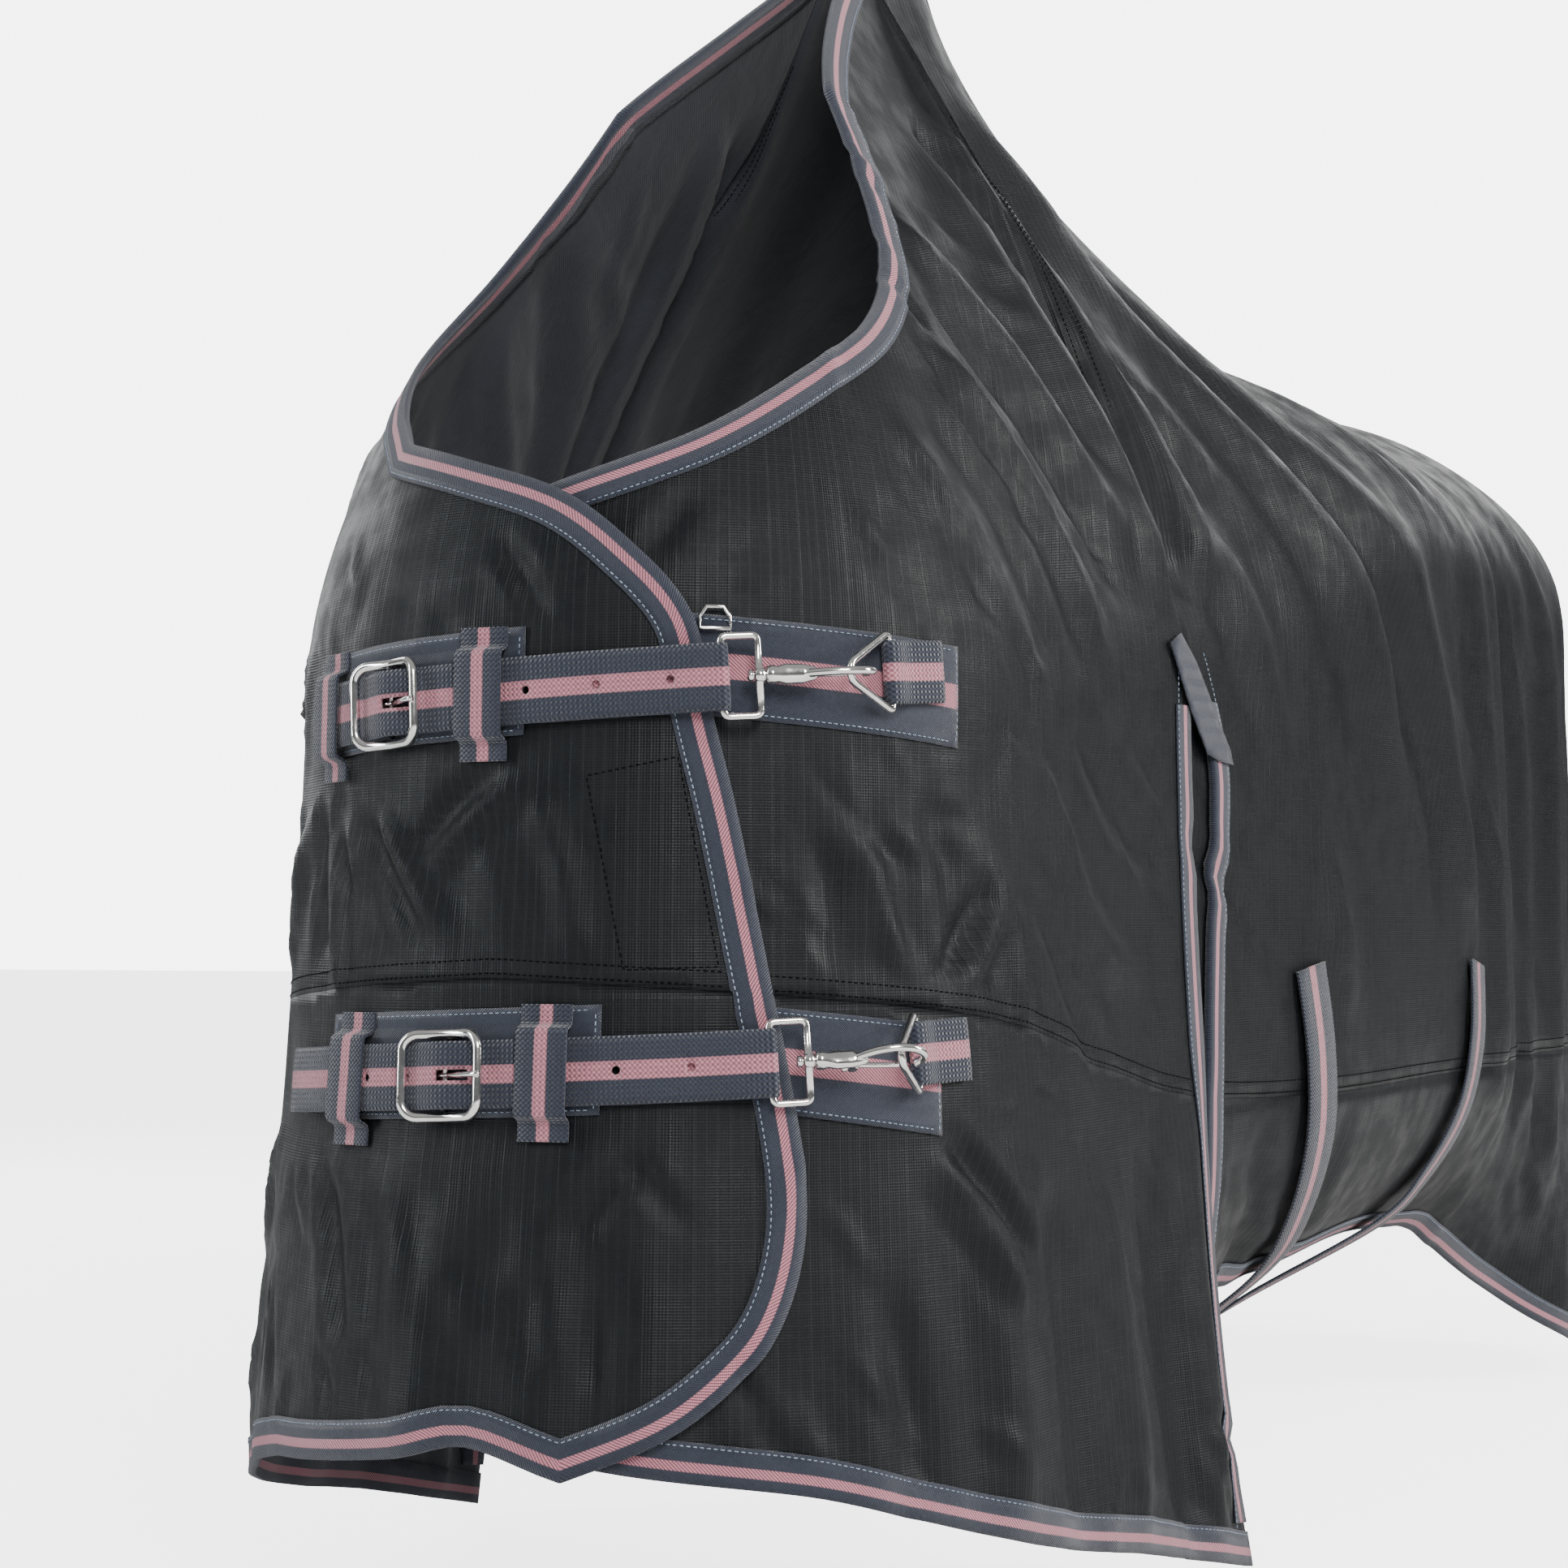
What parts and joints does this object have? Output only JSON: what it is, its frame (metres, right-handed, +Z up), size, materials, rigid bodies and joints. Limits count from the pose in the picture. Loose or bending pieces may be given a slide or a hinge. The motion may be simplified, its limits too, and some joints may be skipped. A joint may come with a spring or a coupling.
{
  "type": "horse turnout rug",
  "caption": "Horse turnout rug with overlapping chest flaps, buckled chest straps with snap hooks, shoulder gussets, crossed belly straps and a tail flap.",
  "frame": {"origin": "top of the horse's back just behind the withers, on the middle line of the rug", "axes": "+Z up, the horse faces -Y, its near (left) side is +X"},
  "size_m": [0.682, 1.9223, 1.2482],
  "materials": {
    "shell_cloth": "fine black ripstop weave with a soft sheen",
    "lining_cloth": "smooth dark lining",
    "binding_tape": "navy twill tape with a pink stripe",
    "webbing": "coarse navy webbing with a pink stripe",
    "velcro": "black hook and loop",
    "chrome": "bright plated"
  },
  "bodies": {
    "rug": {"front_upper_near": "shell_cloth", "front_upper_off": "shell_cloth", "front_lower_near": "shell_cloth", "front_lower_off": "shell_cloth", "body_upper_near": "shell_cloth", "body_upper_off": "shell_cloth", "body_lower_near": "shell_cloth", "body_lower_off": "shell_cloth", "lining_front_near": "lining_cloth", "lining_front_off": "lining_cloth", "lining_body_near": "lining_cloth", "lining_body_off": "lining_cloth", "gusset_near": "shell_cloth", "gusset_off": "shell_cloth", "gusset_cap_near": "binding_tape", "gusset_cap_off": "binding_tape", "gusset_binding_front_near": "binding_tape", "gusset_binding_front_off": "binding_tape", "gusset_binding_rear_near": "binding_tape", "gusset_binding_rear_off": "binding_tape", "neck_binding_near": "binding_tape", "front_binding_near": "binding_tape", "front_binding_off": "binding_tape", "hem_binding_front_near": "binding_tape", "hem_binding_body_near": "binding_tape", "hem_binding_body_off": "binding_tape", "spine_seam": "shell_cloth", "velcro_hook_patch": "velcro", "velcro_loop_patch": "velcro", "upper_buckle_patch": "binding_tape", "upper_ring_patch": "binding_tape", "upper_keeper_outer": "webbing", "upper_keeper_inner": "webbing", "upper_buckle_frame": "chrome", "upper_buckle_tab": "webbing", "upper_strap": "webbing", "upper_ring_tab": "webbing", "upper_d_ring": "chrome", "lower_buckle_patch": "binding_tape", "lower_ring_patch": "binding_tape", "lower_keeper_outer": "webbing", "lower_keeper_inner": "webbing", "lower_buckle_frame": "chrome", "lower_buckle_tab": "webbing", "lower_strap": "webbing", "lower_ring_tab": "webbing", "surcingle_front_near": "webbing", "surcingle_front_off": "webbing"},
    "tail_flap": {"tail_flap": "shell_cloth"},
    "upper_tongue": {"upper_buckle_tongue": "chrome"},
    "upper_eye": {"upper_snap_eye": "chrome"},
    "upper_hook": {"upper_snap_body": "chrome"},
    "upper_gate": {"upper_snap_gate": "chrome"},
    "upper_ring": {"upper_triangle_ring": "chrome"},
    "lower_tongue": {"lower_buckle_tongue": "chrome"},
    "lower_eye": {"lower_snap_eye": "chrome"},
    "lower_hook": {"lower_snap_body": "chrome"},
    "lower_gate": {"lower_snap_gate": "chrome"},
    "lower_ring": {"lower_triangle_ring": "chrome"}
  },
  "joints": [
    {"name": "tail_flap_lift", "type": "hinge", "parent": "rug", "child": "tail_flap", "pos_m": [0, 0.89, -0.0316], "axis": [1, 0, 0], "range_deg": [0, 80]},
    {"name": "upper_tongue_lift", "type": "hinge", "parent": "rug", "child": "upper_tongue", "pos_m": [-0.0774, -0.92432, -0.37173], "axis": [0.0444, -0.0323, -0.9985], "range_deg": [0, 50]},
    {"name": "upper_eye_turn", "type": "hinge", "parent": "rug", "child": "upper_eye", "pos_m": [0.13318, -0.90198, -0.36002], "axis": [-0.0533, -0.0152, 0.9985], "range_deg": [-5, 2]},
    {"name": "upper_hook_swivel", "type": "hinge", "parent": "upper_eye", "child": "upper_hook", "pos_m": [0.13318, -0.90198, -0.36002], "axis": [0.8208, 0.5688, 0.0525], "range_deg": [-8, 8]},
    {"name": "upper_gate_open", "type": "hinge", "parent": "upper_hook", "child": "upper_gate", "pos_m": [0.17002, -0.87097, -0.35758], "axis": [0.0533, 0.0152, -0.9985], "range_deg": [0, 9], "stiffness_Nm_per_rad": 0.03, "springref_deg": -17.19},
    {"name": "upper_ring_turn", "type": "hinge", "parent": "rug", "child": "upper_ring", "pos_m": [0.20627, -0.82053, -0.35393], "axis": [-0.0591, -0.0385, 0.9975], "range_deg": [-4, 10]},
    {"name": "lower_tongue_lift", "type": "hinge", "parent": "rug", "child": "lower_tongue", "pos_m": [-0.02614, -0.94667, -0.59379], "axis": [0.0366, -0.0878, -0.9955], "range_deg": [0, 50]},
    {"name": "lower_eye_turn", "type": "hinge", "parent": "rug", "child": "lower_eye", "pos_m": [0.16244, -0.89737, -0.58508], "axis": [-0.0827, 0.0402, 0.9958], "range_deg": [-3, 3]},
    {"name": "lower_hook_swivel", "type": "hinge", "parent": "lower_eye", "child": "lower_hook", "pos_m": [0.16244, -0.89737, -0.58508], "axis": [0.8427, 0.5362, 0.0484], "range_deg": [0, 8]},
    {"name": "lower_gate_open", "type": "hinge", "parent": "lower_hook", "child": "lower_gate", "pos_m": [0.201, -0.86844, -0.58531], "axis": [0.3377, -0.4564, -0.8232], "range_deg": [0, 8], "stiffness_Nm_per_rad": 0.03, "springref_deg": -17.19},
    {"name": "lower_ring_turn", "type": "hinge", "parent": "rug", "child": "lower_ring", "pos_m": [0.22175, -0.81771, -0.5813], "axis": [-0.075, -0.0113, 0.9971], "range_deg": [-8, 8]}
  ],
  "couplings": [
    {"joint": "upper_ring_turn", "follows": "upper_eye_turn", "ratio": -1.9},
    {"joint": "lower_ring_turn", "follows": "lower_eye_turn", "ratio": -2.6}
  ]
}
